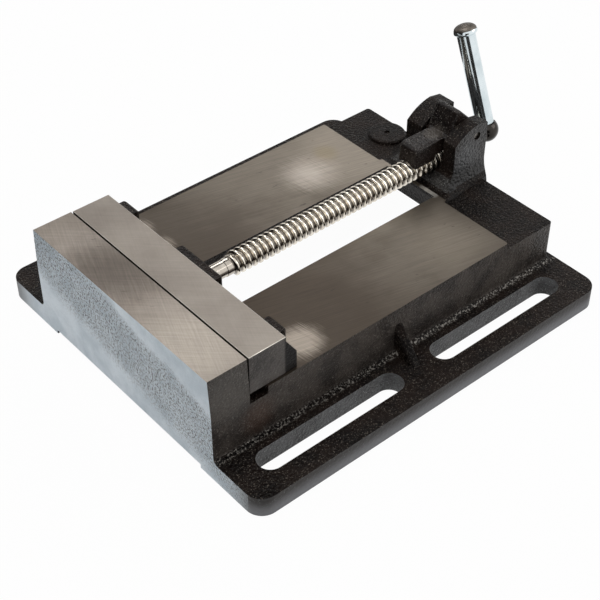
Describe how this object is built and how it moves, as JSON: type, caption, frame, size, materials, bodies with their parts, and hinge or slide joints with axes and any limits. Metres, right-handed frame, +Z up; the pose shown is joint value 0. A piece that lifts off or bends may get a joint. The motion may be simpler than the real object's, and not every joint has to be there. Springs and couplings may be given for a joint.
{
  "type": "drill press vise",
  "caption": "Cast-iron drill press vise with a slotted base plate, wide jaws, a bright lead screw, a lift-up half nut for rapid setting and a lever handle.",
  "frame": {"origin": "centre of the table slots, on the underside of the base", "axes": "+X along the lead screw from the fixed jaw to the handle, +Z up from the table"},
  "size_m": [0.2785, 0.2278, 0.1144],
  "materials": {
    "painted_iron": "satin",
    "bright_steel": "polished",
    "plain_steel": "satin"
  },
  "bodies": {
    "base": {"base_casting": "painted_iron", "nut_pivot_pin": "plain_steel"},
    "jaw": {"moving_jaw": "painted_iron", "retaining_pin": "plain_steel", "keeper_plate": "plain_steel", "keeper_screw_1": "plain_steel", "keeper_screw_2": "plain_steel", "keeper_washer_1": "plain_steel", "keeper_washer_2": "plain_steel"},
    "screw": {"lead_screw": "bright_steel", "handle_lever": "bright_steel"},
    "half_nut": {"half_nut": "painted_iron"}
  },
  "joints": [
    {"name": "jaw_slide", "type": "slide", "parent": "base", "child": "jaw", "axis": [1, 0, 0], "range_m": [0, 0.146]},
    {"name": "screw_turn", "type": "hinge", "parent": "jaw", "child": "screw", "pos_m": [0, 0, 0.0524], "axis": [1, 0, 0], "range_deg": [0, 13139]},
    {"name": "half_nut_release", "type": "hinge", "parent": "base", "child": "half_nut", "pos_m": [0.1165, 0, 0.07], "axis": [0, 1, 0], "range_deg": [0, 20]}
  ],
  "couplings": [
    {"joint": "jaw_slide", "follows": "screw_turn", "m_per_rad": 0.00063662}
  ]
}
